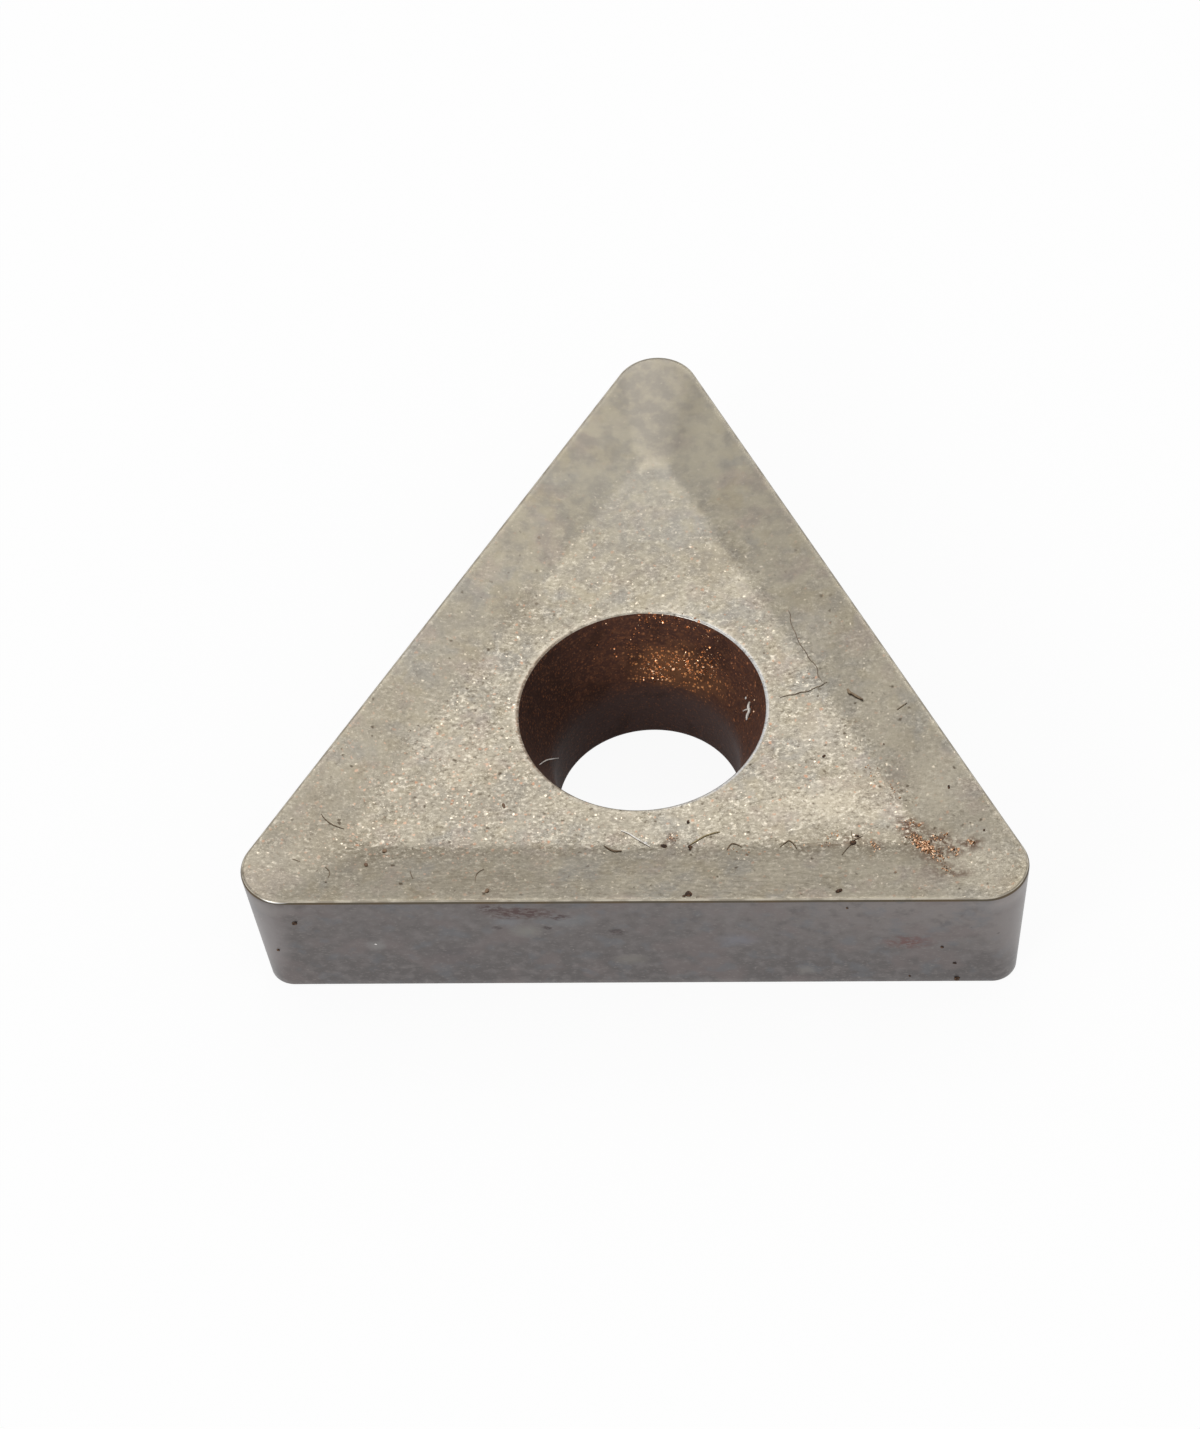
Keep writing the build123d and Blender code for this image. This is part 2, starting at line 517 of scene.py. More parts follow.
def finish_faces(body):
    """Gives each part of the skin its own finish."""
    finishes = (ground_flank(body), sintered_top(body), honed_edge(body), pasted_hole(body), pale_crest())
    for material in finishes:
        body.data.materials.append(material)
    start_edit(body)
    for number, region in ((1, on_top), (0, on_flank), (4, on_crest), (2, on_hone), (3, in_hole)):
        pick(body, region, "FACE")
        body.active_material_index = number
        bpy.ops.object.material_slot_assign()
    end_edit()


# ---------------------------------------------------------------- places seen by the camera


def direction_to(azimuth_deg, elevation_deg):
    """The way to something that far round from +Y towards +X, and that far up."""
    azimuth, elevation = math.radians(azimuth_deg), math.radians(elevation_deg)
    return Vector(
        (
            math.sin(azimuth) * math.cos(elevation),
            math.cos(azimuth) * math.cos(elevation),
            math.sin(elevation),
        )
    )


def camera_forward():
    """The way that the camera looks, down and towards the back."""
    return direction_to(VIEW_AZIMUTH_DEG, -VIEW_ELEVATION_DEG)


def camera_turn():
    """How the camera is turned, its roll included."""
    roll = Euler((0, 0, math.radians(VIEW_ROLL_DEG))).to_quaternion()
    return camera_forward().to_track_quat("-Z", "Y") @ roll


def seen_at(body, column, row):
    """The place and the normal where the camera's line through one point of its frame meets the body."""
    across = (column - FRAME_WIDTH / 2) / FRAME_HEIGHT * SENSOR_MM / LENS_MM
    upwards = (FRAME_HEIGHT / 2 - row) / FRAME_HEIGHT * SENSOR_MM / LENS_MM
    line = camera_turn() @ Vector((across, upwards, -1))
    start = VIEW_AIM - camera_forward() * VIEW_DISTANCE
    found, place, normal = body.ray_cast(start, line.normalized())[:3]
    if not found:
        raise ValueError(f"nothing is seen at {column}, {row}")
    return place, normal


def spot(body, where):
    """The place on the body that the camera sees at one point of its frame."""
    return seen_at(body, *where)[0]


# ---------------------------------------------------------------- shader helpers


def linear(hex_colour):
    """An sRGB hex colour as the linear colour that a shader takes."""
    channels = [int(hex_colour[i : i + 2], 16) / 255 for i in (1, 3, 5)]
    return (*[c / 12.92 if c <= 0.04045 else ((c + 0.055) / 1.055) ** 2.4 for c in channels], 1.0)


def add_node(tree, kind, inputs=None, **settings):
    """Adds a node, applies its settings, and sets or links each input by its name or number."""
    made = tree.nodes.new(kind)
    for name, value in settings.items():
        setattr(made, name, value)
    for socket, value in (inputs or {}).items():
        if isinstance(value, bpy.types.NodeSocket):
            tree.links.new(value, made.inputs[socket])
        else:
            made.inputs[socket].default_value = value
    return made


def new_material(name, metallic, roughness):
    """A material with its shader, and the piece's own coordinates in millimetres."""
    material = bpy.data.materials.new(name)
    material.use_nodes = True
    tree = material.node_tree
    tree.nodes.clear()
    shader = add_node(tree, "ShaderNodeBsdfPrincipled", {"Metallic": metallic, "Roughness": roughness})
    add_node(tree, "ShaderNodeOutputMaterial", {"Surface": shader.outputs["BSDF"]})
    coordinates = add_node(tree, "ShaderNodeTexCoord")
    scaled = add_node(
        tree, "ShaderNodeMapping", {"Vector": coordinates.outputs["Object"], "Scale": (1 / MM,) * 3}
    )
    return material, tree, shader, scaled.outputs["Vector"]


def noise(tree, place, width, detail=2.0):
    """Soft random values from 0 to 1 that change over about the given width."""
    made = add_node(tree, "ShaderNodeTexNoise", {"Vector": place, "Scale": 1 / width, "Detail": detail})
    return made.outputs["Fac"]


def ramp(tree, value, low, high, start=0.0, end=1.0):
    """Turns a value's stretch from low to high into one from start to end."""
    limits = {"Value": value, "From Min": low, "From Max": high, "To Min": start, "To Max": end}
    return add_node(tree, "ShaderNodeMapRange", limits).outputs["Result"]


def flecks(tree, place, spacing, widest, share, strength):
    """Round specks: one in the given share of cells, each of its own size up to the widest."""
    cells = add_node(tree, "ShaderNodeTexVoronoi", {"Vector": place, "Scale": 1 / spacing})
    chance = add_node(tree, "ShaderNodeSeparateColor", {"Color": cells.outputs["Color"]}).outputs["Red"]
    radius = ramp(tree, chance, 1 - share, 1.0, 0.0, widest / 2 / spacing)
    depth = add_node(tree, "ShaderNodeMath", {0: radius, 1: cells.outputs["Distance"]}, operation="SUBTRACT")
    return ramp(tree, depth.outputs["Value"], 0.0, FLECK_FADE * widest / spacing, 0.0, strength)


def stain(tree, place, centre, reach, strength):
    """A mark that fades outwards from its centre, with its reach along each axis in millimetres."""
    middle = tuple(centre / MM)
    local = add_node(
        tree,
        "ShaderNodeMapping",
        {"Vector": place, "Location": middle, "Scale": reach},
        vector_type="TEXTURE",
    )
    far = add_node(tree, "ShaderNodeVectorMath", {0: local.outputs["Vector"]}, operation="LENGTH")
    return ramp(tree, far.outputs["Value"], 1.0, MARK_CORE, 0.0, strength)


def both(tree, first, second):
    """Where two masks hold together."""
    return add_node(tree, "ShaderNodeMath", {0: first, 1: second}, operation="MULTIPLY").outputs["Value"]


def ragged(tree, place, width, reach):
    """The same coordinates pushed about unevenly, so that a mark's border comes out ragged."""
    pushes = add_node(tree, "ShaderNodeTexNoise", {"Vector": place, "Scale": 1 / width, "Detail": 3.0})
    centred = add_node(
        tree, "ShaderNodeVectorMath", {0: pushes.outputs["Color"], 1: (0.5, 0.5, 0.5)}, operation="SUBTRACT"
    )
    moved = add_node(
        tree,
        "ShaderNodeVectorMath",
        {0: centred.outputs["Vector"], 1: (reach,) * 3, 2: place},
        operation="MULTIPLY_ADD",
    )
    return moved.outputs["Vector"]


def lay_colours(tree, ground, layers):
    """Lays tones over a ground colour in turn, each where its mask says."""
    colour = linear(ground)
    for tone, mask in layers:
        inputs = {MIX_SHARE: mask, MIX_UNDER: colour, MIX_OVER: linear(tone)}
        colour = add_node(tree, "ShaderNodeMix", inputs, data_type="RGBA").outputs[MIX_RESULT]
    return colour


def emboss(tree, shader, height, depth):
    """Raises the surface where the height is 1, by the depth in millimetres."""
    bump = add_node(tree, "ShaderNodeBump", {"Height": height, "Distance": depth * MM})
    tree.links.new(bump.outputs["Normal"], shader.inputs["Normal"])


# ---------------------------------------------------------------- finishes of the insert


def sintered_top(body):
    """Cemented carbide as pressed and sintered: a dull warm grey metal, sandy to the eye."""
    material, tree, shader, place = new_material("sintered_carbide", 1.0, 0.34)
    loose = ragged(tree, place, 0.4, 0.6)
    frayed = ragged(tree, place, 0.06, 0.08)
    axes = add_node(tree, "ShaderNodeSeparateXYZ", {"Vector": place})
    across, depth, height = (axes.outputs[name] for name in "XYZ")
    flat = add_node(tree, "ShaderNodeVectorMath", {0: place, 1: (1.0, 1.0, 0.0)}, operation="MULTIPLY")
    out = add_node(tree, "ShaderNodeVectorMath", {0: flat.outputs["Vector"]}, operation="LENGTH")
    distance = out.outputs["Value"]
    floor = FLOOR_HEIGHT / MM

    # Grain: strong at the front and faint towards the back nose, full on the floor and weaker on the
    # bands. The carbide's own grains are some 0.002 mm, too fine to show, so it is drawn 0.035 and
    # 0.075 mm wide.
    crisp = ramp(tree, depth, 6.5, 1.0, 0.1, 1.0)
    level = ramp(tree, height, floor + 0.07, floor, ramp(tree, distance, 6.0, 8.0, 0.45, 0.65), 1.0)
    clumps = ramp(tree, noise(tree, loose, 0.5), 0.4, 0.58, 0.6, 1.0)
    gritty = both(tree, both(tree, crisp, level), clumps)
    combed = add_node(tree, "ShaderNodeMapping", {"Vector": frayed, "Scale": (0.8, 1.1, 1.0)})
    sand = noise(tree, combed.outputs["Vector"], 0.075, 6.0)
    powder = noise(tree, combed.outputs["Vector"], 0.035, 1.0)

    # Clouds of thin film, which take over from the grain towards the back.
    cloudy = ramp(tree, depth, -1.5, 4.0, 0.3, 1.0)
    clouds = noise(tree, place, 0.3, 5.0)

    # The foot of the front band, darker from the dirt that gathers there and from painted shade in the
    # crease.
    crease_dirt_and_shade = both(tree, ramp(tree, height, floor, floor + 0.01), ramp(tree, height, floor + 0.08, floor + 0.02))
    crease_dirt_and_shade = both(tree, crease_dirt_and_shade, ramp(tree, depth, -2.6, -3.1))

    # The floor's rim round the hole, painted paler as a highlight on its rounding, and the lip just inside
    # it, with a painted highlight on its right and darker brown on its left.
    rim = both(tree, ramp(tree, distance, 2.56, 2.44), ramp(tree, height, floor - 0.06, floor - 0.01))
    lip = ramp(tree, distance, 2.48, 2.45)

    # Wiping streaks on the front band, fading out towards the noses.
    streaked = {"Vector": place, "Rotation": (0.0, 0.0, WIPE_ANGLE), "Scale": (0.25, 1.0, 1.0)}
    wiped = add_node(tree, "ShaderNodeMapping", streaked)
    wipes = noise(tree, wiped.outputs["Vector"], 0.06, 3.0)
    banded = both(tree, ramp(tree, height, floor + 0.03, floor + 0.08), ramp(tree, depth, -1.5, -2.8))
    banded = both(tree, banded, ramp(tree, distance, 7.0, 5.5, 0.3, 1.0))

    # Metal rubbed brighter in front of the hole, and copper dust to its left.
    rubbed = stain(tree, loose, spot(body, RUBBED_FLOOR), (4.5, 1.2, TOP_MARK_DEPTH), 1.0)
    dusted = stain(tree, loose, spot(body, COPPER_DUST), (4.0, 3.0, TOP_MARK_DEPTH), 1.0)

    # Tones on the top, partly film and partly painted shade and light; then the paste smears.
    marks = []
    for tone, where, reach, strength in TOP_TONES_AND_PAINTED_SHADE:
        mark = stain(tree, loose, spot(body, where), (*reach, TOP_MARK_DEPTH), strength)
        marks.append((tone, mark))
    paste = ramp(tree, noise(tree, place, 0.12, 4.0), 0.36, 0.52)
    for where, reach, strength in PASTE_SMEARS:
        smear = stain(tree, frayed, spot(body, where), (*reach, TOP_MARK_DEPTH), strength)
        marks.append(("#4a2f21", both(tree, smear, paste)))
    colour = lay_colours(
        tree,
        "#8f887a",
        (
            ("#9d9584", ramp(tree, noise(tree, loose, 1.3), 0.46, 0.6, 0.0, 0.5)),
            ("#84817b", ramp(tree, noise(tree, loose, 0.9), 0.52, 0.64, 0.0, 0.6)),
            ("#90837a", ramp(tree, noise(tree, loose, 0.75), 0.54, 0.66, 0.0, 0.45)),
            ("#887e6a", ramp(tree, noise(tree, loose, 0.6), 0.54, 0.66, 0.0, 0.5)),
            *marks,
            ("#989180", both(tree, cloudy, ramp(tree, clouds, 0.46, 0.7, 0.0, 0.6))),
            ("#7b766e", both(tree, cloudy, ramp(tree, clouds, 0.54, 0.32, 0.0, 0.55))),
            ("#7d7566", both(tree, crease_dirt_and_shade, ramp(tree, noise(tree, place, 0.3), 0.3, 0.5, 0.0, 0.6))),
            ("#766e5f", both(tree, banded, ramp(tree, wipes, 0.46, 0.32, 0.0, 0.55))),
            ("#a79e8d", both(tree, banded, ramp(tree, wipes, 0.54, 0.7, 0.0, 0.55))),
            # Painted highlights on the rim and on the lip's right side.
            ("#b8b0a1", both(tree, rim, ramp(tree, noise(tree, place, 0.2), 0.3, 0.5, 0.2, 0.8))),
            ("#c9cbce", both(tree, lip, ramp(tree, across, 0.0, 1.5, 0.0, 0.7))),
            ("#6a5444", both(tree, lip, ramp(tree, across, -1.0, -2.0, 0.0, 0.7))),
            ("#a19989", both(tree, rubbed, ramp(tree, noise(tree, loose, 0.35), 0.4, 0.62, 0.0, 0.5))),
            ("#5a5144", both(tree, gritty, ramp(tree, sand, 0.46, 0.3, 0.0, 0.75))),
            ("#cfc6b5", both(tree, gritty, ramp(tree, sand, 0.54, 0.72, 0.0, 0.85))),
            ("#5f5649", both(tree, gritty, ramp(tree, powder, 0.4, 0.25, 0.0, 0.7))),
            ("#dcd4c4", both(tree, gritty, ramp(tree, powder, 0.62, 0.78, 0.0, 0.6))),
            ("#4a3f33", both(tree, crisp, flecks(tree, frayed, 0.18, 0.1, 0.45, 0.8))),
            ("#ac846b", both(tree, gritty, flecks(tree, frayed, 0.12, 0.09, 0.5, 0.9))),
            ("#bc9a84", both(tree, dusted, flecks(tree, frayed, 0.09, 0.08, 0.5, 0.9))),
            # Cream specks painted on as highlights: the glints of the grains.
            ("#fff0d8", both(tree, gritty, flecks(tree, frayed, 0.1, 0.06, 0.35, 1.0))),
        ),
    )
    tree.links.new(colour, shader.inputs["Base Color"])
    emboss(tree, shader, both(tree, gritty, noise(tree, place, 0.08, 4.0)), 0.007)
    return material


def ground_flank(body):
    """Cemented carbide ground smooth: a faintly purple grey under a thin film of oil, darkened as painted
    shade.
    """
    material, tree, shader, place = new_material("ground_carbide", 1.0, 0.42)
    shader.inputs["Coat Weight"].default_value = 0.3
    shader.inputs["Coat Roughness"].default_value = 0.3
    axes = add_node(tree, "ShaderNodeSeparateXYZ", {"Vector": place})
    across, height = axes.outputs["X"], axes.outputs["Z"]

    # The flank is darker low down and lighter at the upper right. The grinding marks, some 0.005 mm
    # apart, are too fine to show, so only streaks of the film, 0.05 mm wide, run along the flank.
    lowness = ramp(tree, height, 3.0, 0.2, 0.0, 0.9)
    right_top = both(tree, ramp(tree, across, 0.5, 6.5), ramp(tree, height, 0.8, 3.0))
    smears = noise(tree, place, 0.24, 6.0)
    frayed = ragged(tree, place, 0.15, 0.2)
    along = add_node(tree, "ShaderNodeMapping", {"Vector": place, "Scale": (0.6, 0.6, 1.0)})
    streaks = noise(tree, along.outputs["Vector"], 0.05, 4.0)
    threads = ramp(tree, noise(tree, along.outputs["Vector"], 0.08, 4.0), 0.42, 0.54)

    marks = []
    for tone, where, reach, strength in FLANK_MARKS_AND_NOSE_SHEEN:
        marks.append((tone, stain(tree, frayed, spot(body, where), reach, strength)))
    for tone, where, reach, strength in FLANK_STAINS:
        blot = stain(tree, frayed, spot(body, where), reach, strength)
        marks.append((tone, both(tree, threads, blot)))
    # The ground grey is darkened as painted shade, for the shaded table in front that the flank mirrors.
    colour = lay_colours(
        tree,
        "#645e5c",
        (
            ("#524d4c", lowness),
            ("#79726f", right_top),
            ("#716b6a", ramp(tree, smears, 0.5, 0.68, 0.0, 0.6)),
            ("#4f4948", ramp(tree, smears, 0.48, 0.3, 0.0, 0.6)),
            ("#6a605e", ramp(tree, noise(tree, place, 0.8), 0.52, 0.64, 0.0, 0.6)),
            ("#5f6165", ramp(tree, noise(tree, place, 0.45, 4.0), 0.54, 0.66, 0.0, 0.5)),
            *marks,
            ("#7b7572", ramp(tree, streaks, 0.56, 0.72, 0.0, 0.6)),
            ("#8d8784", flecks(tree, frayed, 0.25, 0.06, 0.2, 0.8)),
            ("#3e3836", flecks(tree, frayed, 0.5, 0.1, 0.2, 0.8)),
        ),
    )
    tree.links.new(colour, shader.inputs["Base Color"])
    emboss(tree, shader, smears, 0.0015)
    return material


def honed_edge(body):
    """Carbide rounded by brushing: a thin dark line of painted shade along the cutting edge, browned in
    places.
    """
    material, tree, shader, place = new_material("honed_carbide", 1.0, 0.3)
    # A white spot on the left nose's edge is a painted highlight: the glint of a lamp.
    painted_highlight = stain(tree, place, spot(body, PAINTED_HIGHLIGHT_SPOT), (0.3, 0.3, 0.03), 0.7)
    browned = ramp(tree, noise(tree, place, 0.8), 0.45, 0.6)
    colour = lay_colours(tree, "#5a5349", (("#5f5344", browned), ("#ffffff", painted_highlight)))
    tree.links.new(colour, shader.inputs["Base Color"])
    return material


def pale_crest():
    """Carbide painted paler: a pale hairline, broken in places, along the crest of the edge."""
    material, tree, shader, place = new_material("pale_crest_carbide", 1.0, 0.32)
    bright = ramp(tree, noise(tree, place, 0.35, 3.0), 0.42, 0.58)
    colour = lay_colours(tree, "#989082", (("#b9b1a1", bright),))
    tree.links.new(colour, shader.inputs["Base Color"])
    return material


def pasted_hole(body):
    """Dried copper assembly paste in the hole: nearly black brown, with copper flake and its glints painted
    in.
    """
    material, tree, shader, place = new_material("dried_copper_paste", 0.0, 0.6)
    shader.inputs["Specular IOR Level"].default_value = 0.05
    axes = add_node(tree, "ShaderNodeSeparateXYZ", {"Vector": place})
    across, height = axes.outputs["X"], axes.outputs["Z"]
    throat = THROAT_HEIGHT / MM

    # The paste is thick on the screw's seat, thin and darker in the bore, and richest at the back, where
    # the seat is also painted lighter, as painted light on the wall that the lamp lights most.
    seat = ramp(tree, height, throat - 0.2, throat + 0.25)
    rich_and_lit = stain(tree, ragged(tree, place, 0.3, 0.8), spot(body, RICHEST_LIT_PASTE), (1.25, 1.6, 0.6), 1.0)
    lined = add_node(tree, "ShaderNodeMapping", {"Vector": place, "Scale": (1.0, 1.0, 1.6)})
    brown = ramp(tree, noise(tree, lined.outputs["Vector"], 0.12, 6.0), 0.45, 0.7, 0.0, 0.7)
    pale = ramp(tree, noise(tree, lined.outputs["Vector"], 0.06, 5.0), 0.55, 0.72, 0.0, 0.6)

    # Its copper is a powder of some 0.02 mm, drawn up to 0.05 and 0.08 mm wide; the brightest flecks are
    # painted glints, strongest at the back and on the right, where the light falls.
    frayed = ragged(tree, place, 0.05, 0.05)
    fine = flecks(tree, frayed, 0.045, 0.05, 0.9, 1.0)
    wide = flecks(tree, frayed, 0.08, 0.08, 0.5, 1.0)
    colour = lay_colours(
        tree,
        "#513f3b",
        (
            ("#4d342c", seat),
            ("#6d4733", both(tree, seat, brown)),
            ("#755038", rich_and_lit),
            # Painted shade: the hole's left wall is darker, turned away from the lamp at the front left.
            ("#2c201d", ramp(tree, across, -0.6, -2.2, 0.0, 0.8)),
            ("#30211c", ramp(tree, noise(tree, place, 0.7), 0.54, 0.66, 0.0, 0.45)),
            ("#6b4d3c", pale),
            ("#e8935a", both(tree, fine, ramp(tree, rich_and_lit, 0.0, 0.8, 0.12, 1.0))),
            ("#d68c60", both(tree, both(tree, wide, seat), ramp(tree, across, -0.8, 0.6, 0.1, 0.5))),
            ("#f5ac70", both(tree, wide, ramp(tree, rich_and_lit, 0.0, 0.6))),
        ),
    )
    tree.links.new(colour, shader.inputs["Base Color"])
    emboss(tree, shader, noise(tree, place, 0.1, 3.0), 0.01)
    return material


def lint(name, colour_hex, faded_hex):
    """Cloth fibre or hair: a fine matt thread whose colour changes along its length."""
    material, tree, shader, place = new_material(name, 0.0, 0.55)
    faded = ramp(tree, noise(tree, place, 0.12), 0.45, 0.6)
    colour = lay_colours(tree, colour_hex, ((faded_hex, faded),))
    tree.links.new(colour, shader.inputs["Base Color"])
    return material


def oily_grit():
    """Workshop grit caked with oil: nearly black crumbs with brown faces."""
    material, tree, shader, place = new_material("oily_grit", 0.0, 0.6)
    shader.inputs["Specular IOR Level"].default_value = 0.15
    browned = ramp(tree, noise(tree, place, 0.04), 0.5, 0.6)
    colour = lay_colours(tree, "#3a2c24", (("#664c38", browned),))
    tree.links.new(colour, shader.inputs["Base Color"])
    emboss(tree, shader, noise(tree, place, 0.03), 0.01)
    return material


def copper_leaf(name, fresh_hex, browned_hex):
    """Copper flake from assembly paste: a bright pinkish orange metal, browned where paste clings, with
    glints painted on in pale patches.
    """
    material, tree, shader, place = new_material(name, 1.0, 0.3)
    browned = ramp(tree, noise(tree, place, 0.05), 0.48, 0.53)
    # Pale patches painted on as glints.
    bright = ramp(tree, noise(tree, place, 0.04), 0.55, 0.6)
    colour = lay_colours(tree, fresh_hex, ((browned_hex, browned), ("#ffd8b4", bright)))
    tree.links.new(colour, shader.inputs["Base Color"])
    return material


# ---------------------------------------------------------------- dirt on the insert


def own(piece, name, material):
    """Names and finishes a piece of dirt, which goes where the insert goes."""
    piece.name = name
    piece.data.name = name
    piece.data.materials.clear()
    piece.data.materials.append(material)
    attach(piece, "root")


def join(pieces):
    """Joins pieces into one whose place is in its mesh."""
    bpy.ops.object.select_all(action="DESELECT")
    for piece in pieces:
        piece.select_set(True)
    bpy.context.view_layer.objects.active = pieces[0]
    if len(pieces) > 1:
        bpy.ops.object.join()
    bpy.ops.object.transform_apply(location=True, rotation=True, scale=True)
    return pieces[0]


def lay_thread(body, route, width):
    """A thread that follows places seen by the camera and rests on what lies there."""
    points = []
    for where in route:
        place, facing = seen_at(body, *where)
        points.append(place + facing * width * THREAD_LIFT)
    shape = bpy.data.curves.new("thread", "CURVE")
    shape.dimensions = "3D"
    shape.bevel_depth = width / 2
    shape.bevel_resolution = 1
    shape.resolution_u = 6
    shape.use_fill_caps = True
    line = shape.splines.new("NURBS")
    line.points.add(len(points) - 1)
    for number, point in enumerate(points):
        line.points[number].co = (*point, 1.0)
        line.points[number].radius = THREAD_TIP if number in (0, len(points) - 1) else 1.0
    line.order_u = 3
    line.use_endpoint_u = True
    thread = bpy.data.objects.new("thread", shape)
    bpy.context.scene.collection.objects.link(thread)
    bpy.ops.object.select_all(action="DESELECT")
    thread.select_set(True)
    bpy.context.view_layer.objects.active = thread
    bpy.ops.object.convert(target="MESH")
    bpy.ops.object.shade_smooth()
    return bpy.context.object


def lay_threads(body, name, material, threads):
    """One piece from several threads, each a route and its width."""
    own(join([lay_thread(body, route, width) for route, width in threads]), name, material)


def stand_on(piece, place, facing, turn, tilt, size):
    """Puts a small piece on a surface: turned about the surface's normal, tilted, and sized."""
    upright = facing.to_track_quat("Z", "Y") @ Euler((tilt, 0, turn), "ZYX").to_quaternion()
    piece.rotation_mode = "QUATERNION"
    piece.rotation_quaternion = upright
    piece.location = place
    piece.scale = size


def lay_crumbs(body, name, material, crumbs, seed):
    """Rough flattened crumbs, each of its own shape, sunk a little into the film they stick to."""
    chance = random.Random(seed)
    made = []
    for where, width in crumbs:
        place, facing = seen_at(body, *where)
        bpy.ops.object.select_all(action="DESELECT")
        bpy.ops.mesh.primitive_ico_sphere_add(subdivisions=3, radius=width / 2)
        crumb = bpy.context.object
        clouds = bpy.data.textures.new("crumb", "CLOUDS")
        clouds.noise_scale = SMALLEST_CLOUD
        lumps = crumb.modifiers.new("lumps", "DISPLACE")
        lumps.texture = clouds
        lumps.texture_coords = "GLOBAL"
        lumps.strength = width * CRUMB_LUMPS
        crumb.location = place
        bpy.context.view_layer.update()
        bpy.ops.object.modifier_apply(modifier="lumps")
        stretch = chance.uniform(*CRUMB_STRETCH)
        size = (stretch, 1 / stretch, CRUMB_HEIGHT)
        turn = chance.uniform(0, math.tau)
        stand_on(crumb, place + facing * width * CRUMB_LIFT, facing, turn, 0.0, size)
        made.append(crumb)
    own(join(made), name, material)


def make_flake():
    """One flake: a thin six-sided leaf, 1 m wide until it is sized, with two of its corners bent up."""
    bpy.ops.object.select_all(action="DESELECT")
    bpy.ops.mesh.primitive_circle_add(vertices=FLAKE_CORNERS, radius=0.5, fill_type="NGON")
    flake = bpy.context.object
    start_edit(flake)
    bpy.ops.mesh.select_all(action="SELECT")
    bpy.ops.mesh.extrude_region_move(TRANSFORM_OT_translate={"value": (0, 0, FLAKE_THICKNESS)})
    pick(flake, lambda place: place.x > FLAKE_BENT_FROM, "VERT")
    bpy.ops.transform.translate(value=(0, 0, FLAKE_BEND))
    bpy.ops.mesh.select_all(action="SELECT")
    bpy.ops.mesh.normals_make_consistent(inside=False)
    end_edit()
    return flake


def scatter_flakes(body, flake, name, material, routes, seed):
    """Strews flakes along routes. Most are near the narrowest width that their route allows."""
    chance = random.Random(seed)
    made = []
    for route, count, stray, tilt, narrow, wide in routes:
        for number in range(count):
            along = chance.uniform(0, len(route) - (1 + ROUTE_SPARE))
            leg = int(along)
            share = along - leg
            start, end = route[leg], route[leg + 1]
            column = start[0] + (end[0] - start[0]) * share + chance.gauss(0, stray)
            row = start[1] + (end[1] - start[1]) * share + chance.gauss(0, stray)
            place, facing = seen_at(body, column, row)
            width = narrow + (wide - narrow) * chance.random() ** 2
            copy = flake.copy()
            copy.data = flake.data.copy()
            bpy.context.scene.collection.objects.link(copy)
            size = (width, width * chance.uniform(FLAKE_NARROWEST, 1.0), width)
            turn = chance.uniform(0, math.tau)
            lean = chance.uniform(-tilt, tilt)
            stand_on(copy, place + facing * width * FLAKE_LIFT, facing, turn, lean, size)
            made.append(copy)
    own(join(made), name, material)


def lay_dirt(body):
    """Everything that lies on the insert: hairs, fibres, grit and flakes of copper."""
    pale = ((PALE_STREAK, 0.03), (BORE_FIBRE, 0.025), (BORE_LINT, 0.06), (BORE_LINT_ARM, 0.04))
    dark = ((LONG_HAIR, 0.016), (LOOSE_HAIR, 0.018))
    curls = (
        (SHORT_HAIR, 0.024),
        (NOSE_HAIR, 0.02),
        (NOSE_CURL, 0.018),
        (BAND_CURL, 0.016),
        (BAND_TICK, 0.02),
        (CREASE_CURL, 0.035),
        (CORNER_HAIR, 0.018),
        (CURL_A, 0.024),
        (CURL_B, 0.024),
        (DARK_ROD, 0.065),
        (ROD_HEAD, 0.08),
    )
    legs = tuple((leg, 0.02) for leg in CRUMB_LEGS)
    for name, material, threads in (
        ("dark_hairs", lint("dark_hair", "#665747", "#8d7d68"), dark),
        ("brown_hairs", lint("brown_hair", "#695641", "#8a775f"), curls + legs),
        ("olive_fibre", lint("olive_fibre", "#8b7a55", "#b0a07c"), ((OLIVE_FIBRE, 0.028),)),
        ("pale_fibres", lint("pale_fibre", "#f2ede6", "#cfc7bc"), pale),
    ):
        lay_threads(body, name, material, [(route, width * MM) for route, width in threads])
    for name, material, crumbs, seed in (
        ("grit", oily_grit(), GRIT, 3),
        ("brown_crumbs", lint("brown_crumb", "#6b513b", "#8c7259"), BROWN_CRUMBS, 4),
        ("pale_crumbs", lint("pale_crumb", "#d9d6d2", "#b9b4ae"), PALE_CRUMBS, 5),
    ):
        lay_crumbs(body, name, material, [(where, width * MM) for where, width in crumbs], seed)
    flake = make_flake()
    rubbed_in = copper_leaf("smeared_copper_flake", "#c0906c", "#5f4733")
    loose_flake = copper_leaf("loose_copper_flake", "#e8935c", "#7a4527")
    smear = [(*route[:4], route[4] * MM, route[5] * MM) for route in COPPER_SMEAR]
    glints = [(*route[:4], route[4] * MM, route[5] * MM) for route in BORE_GLINTS]
    scatter_flakes(body, flake, "copper_smear", rubbed_in, smear, 11)
    scatter_flakes(body, flake, "bore_flakes", loose_flake, glints, 12)
    bpy.data.objects.remove(flake)


# ---------------------------------------------------------------- studio


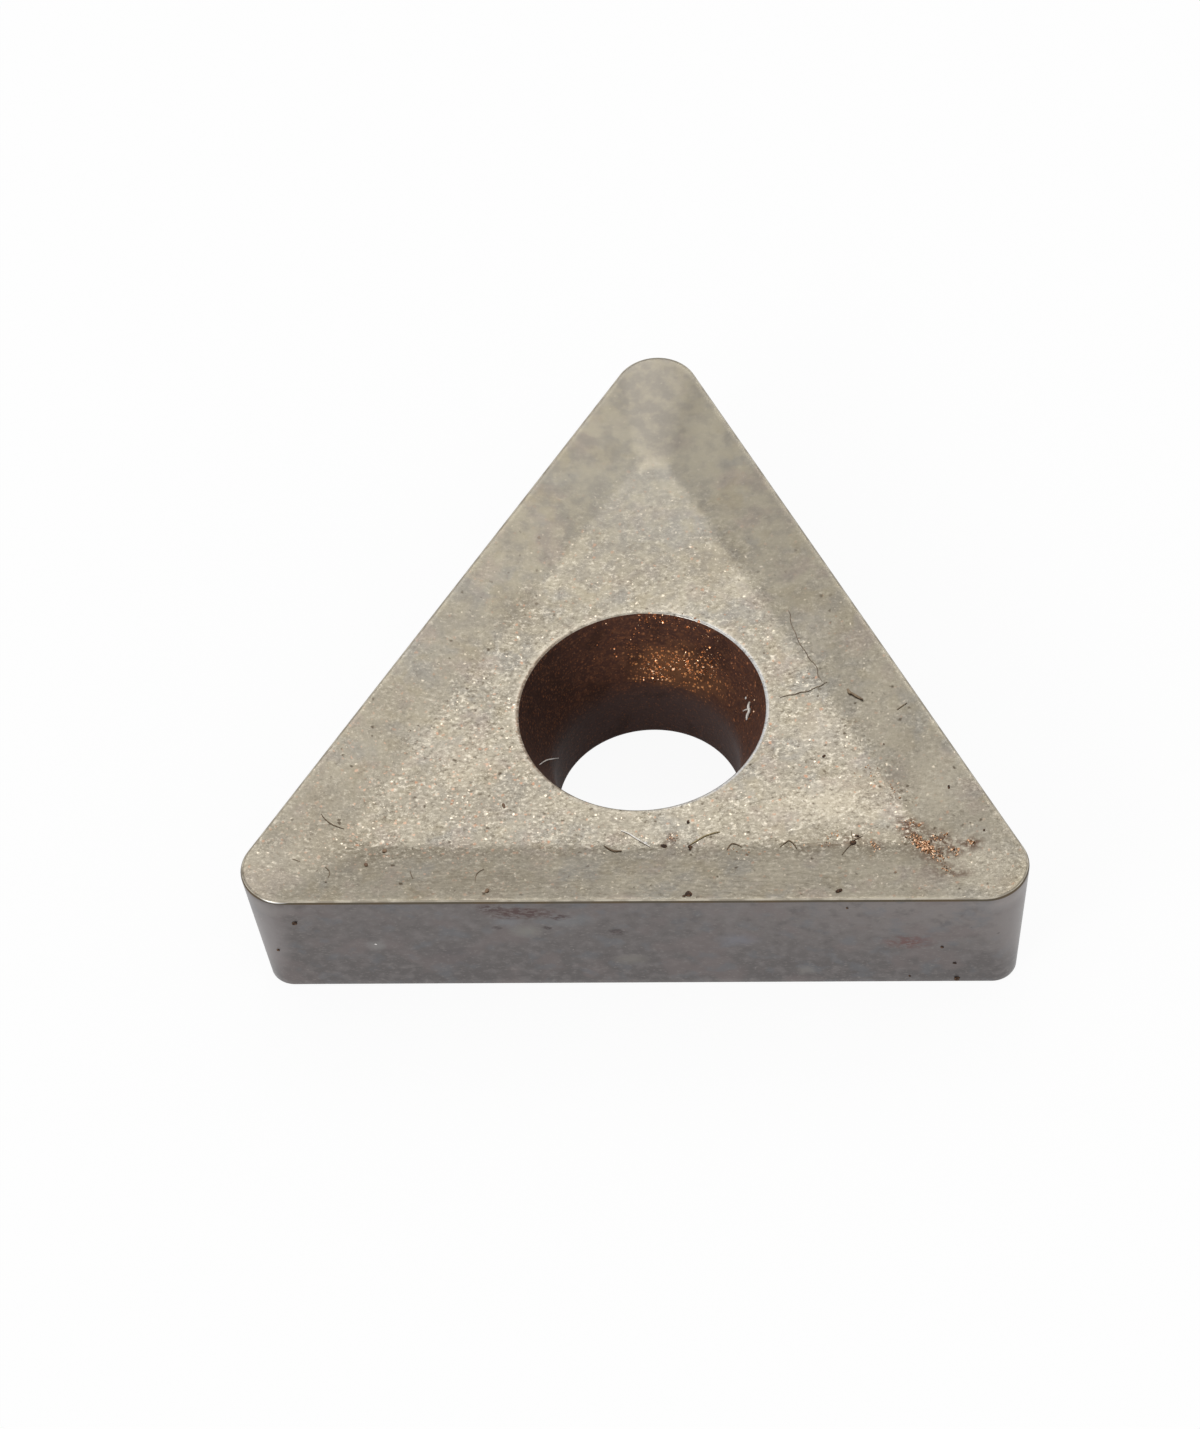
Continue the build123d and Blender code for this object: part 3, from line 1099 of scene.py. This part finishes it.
def make_camera():
    """The camera stands above and in front of the insert, and looks down at it."""
    camera_data = bpy.data.cameras.new("camera")
    camera_data.lens = LENS_MM
    camera_data.sensor_width = SENSOR_MM
    camera_data.clip_start = 0.01
    camera_data.clip_end = 10.0
    camera = bpy.data.objects.new("camera", camera_data)
    bpy.context.scene.collection.objects.link(camera)
    camera.location = VIEW_AIM - camera_forward() * VIEW_DISTANCE
    camera.rotation_mode = "QUATERNION"
    camera.rotation_quaternion = camera_turn()
    bpy.context.scene.camera = camera


def seen_directly(tree):
    """1 for what the camera sees straight, mirrored or through glass, and 0 for light on its way."""
    path = add_node(tree, "ShaderNodeLightPath")
    mirrored = add_node(
        tree,
        "ShaderNodeMath",
        {0: path.outputs["Is Camera Ray"], 1: path.outputs["Is Glossy Ray"]},
        operation="MAXIMUM",
    )
    either = add_node(
        tree,
        "ShaderNodeMath",
        {0: mirrored.outputs["Value"], 1: path.outputs["Is Transmission Ray"]},
        operation="MAXIMUM",
    )
    return either.outputs["Value"]


def make_table():
    """A white table: mostly even white to the camera, with a light shadow under the insert."""
    bpy.ops.object.select_all(action="DESELECT")
    bpy.ops.mesh.primitive_circle_add(vertices=TABLE_STEPS, radius=TABLE_RADIUS, fill_type="NGON")
    table = bpy.context.object
    table.name = "table"
    table.location.z = -TABLE_DROP
    material = bpy.data.materials.new("white_laminate")
    material.use_nodes = True
    tree = material.node_tree
    tree.nodes.clear()
    lit = add_node(tree, "ShaderNodeBsdfDiffuse", {"Color": linear("#f4f4f4")})
    even = add_node(tree, "ShaderNodeEmission", {"Color": (1, 1, 1, 1), "Strength": 1.0})
    share = ramp(tree, seen_directly(tree), 0.0, 1.0, 0.0, EVEN_WHITE_SHARE)
    mixed = add_node(
        tree, "ShaderNodeMixShader", {0: share, 1: lit.outputs["BSDF"], 2: even.outputs["Emission"]}
    )
    add_node(tree, "ShaderNodeOutputMaterial", {"Surface": mixed.outputs["Shader"]})
    table.data.materials.append(material)


def add_softbox(name, azimuth_deg, elevation_deg, width, power):
    """A round soft lamp that looks at the insert from a given side and height."""
    lamp_data = bpy.data.lights.new(name, "AREA")
    lamp_data.shape = "DISK"
    lamp_data.size = width
    lamp_data.energy = power
    lamp = bpy.data.objects.new(name, lamp_data)
    bpy.context.scene.collection.objects.link(lamp)
    away = direction_to(azimuth_deg, elevation_deg)
    lamp.location = away * LAMP_DISTANCE
    lamp.rotation_mode = "QUATERNION"
    lamp.rotation_quaternion = (-away).to_track_quat("-Z", "Y")


def light_studio():
    """A white room with a round lamp above and behind the insert, and a wider one low at the front left."""
    world = bpy.data.worlds.new("studio")
    bpy.context.scene.world = world
    world.use_nodes = True
    tree = world.node_tree
    strength = ramp(tree, seen_directly(tree), 0.0, 1.0, ROOM_LIGHT, 1.0)
    background = tree.nodes["Background"]
    background.inputs["Color"].default_value = (1, 1, 1, 1)
    tree.links.new(strength, background.inputs["Strength"])
    add_softbox("back_softbox", *BACK_SOFTBOX)
    add_softbox("front_softbox", *FRONT_SOFTBOX)
    bpy.context.scene.view_settings.view_transform = "Standard"


body = make_body()
finish_faces(body)
lay_dirt(body)
make_camera()
make_table()
light_studio()
